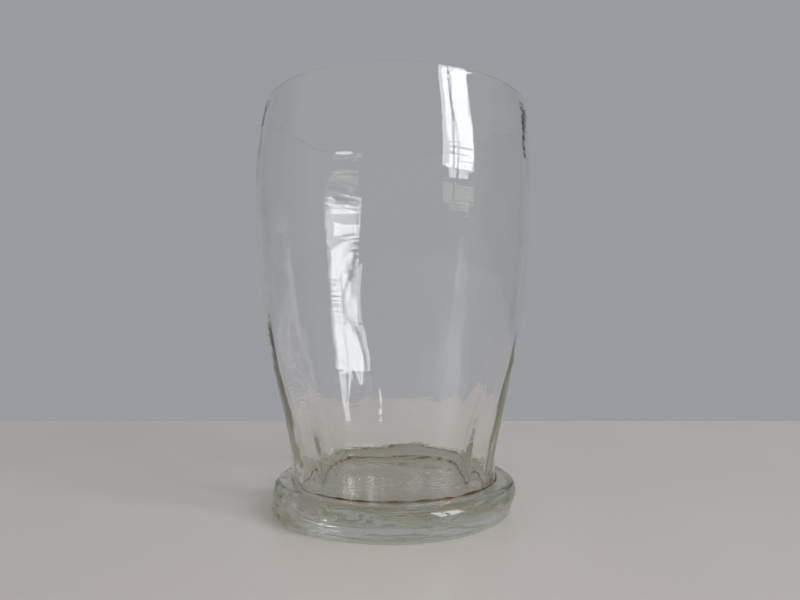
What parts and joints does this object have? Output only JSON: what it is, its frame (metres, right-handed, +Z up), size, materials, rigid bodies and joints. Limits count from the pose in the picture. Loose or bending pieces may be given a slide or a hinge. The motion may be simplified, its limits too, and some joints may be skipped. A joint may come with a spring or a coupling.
{
  "type": "drinking beaker",
  "caption": "Thin barrel-shaped glass beaker with vertical optic panels inside its wall and a rounded rim, on a thick applied disc foot.",
  "frame": {"origin": "centre of the foot's underside, on the surface the beaker stands on", "axes": "+Z up along the beaker's axis, towards the open rim; X and Y are across the round body"},
  "size_m": [0.078, 0.078, 0.11],
  "materials": {
    "bowl_glass": "fire polished",
    "foot_glass": "fire polished"
  },
  "bodies": {
    "root": {"bowl": "bowl_glass", "foot": "foot_glass"}
  },
  "joints": []
}
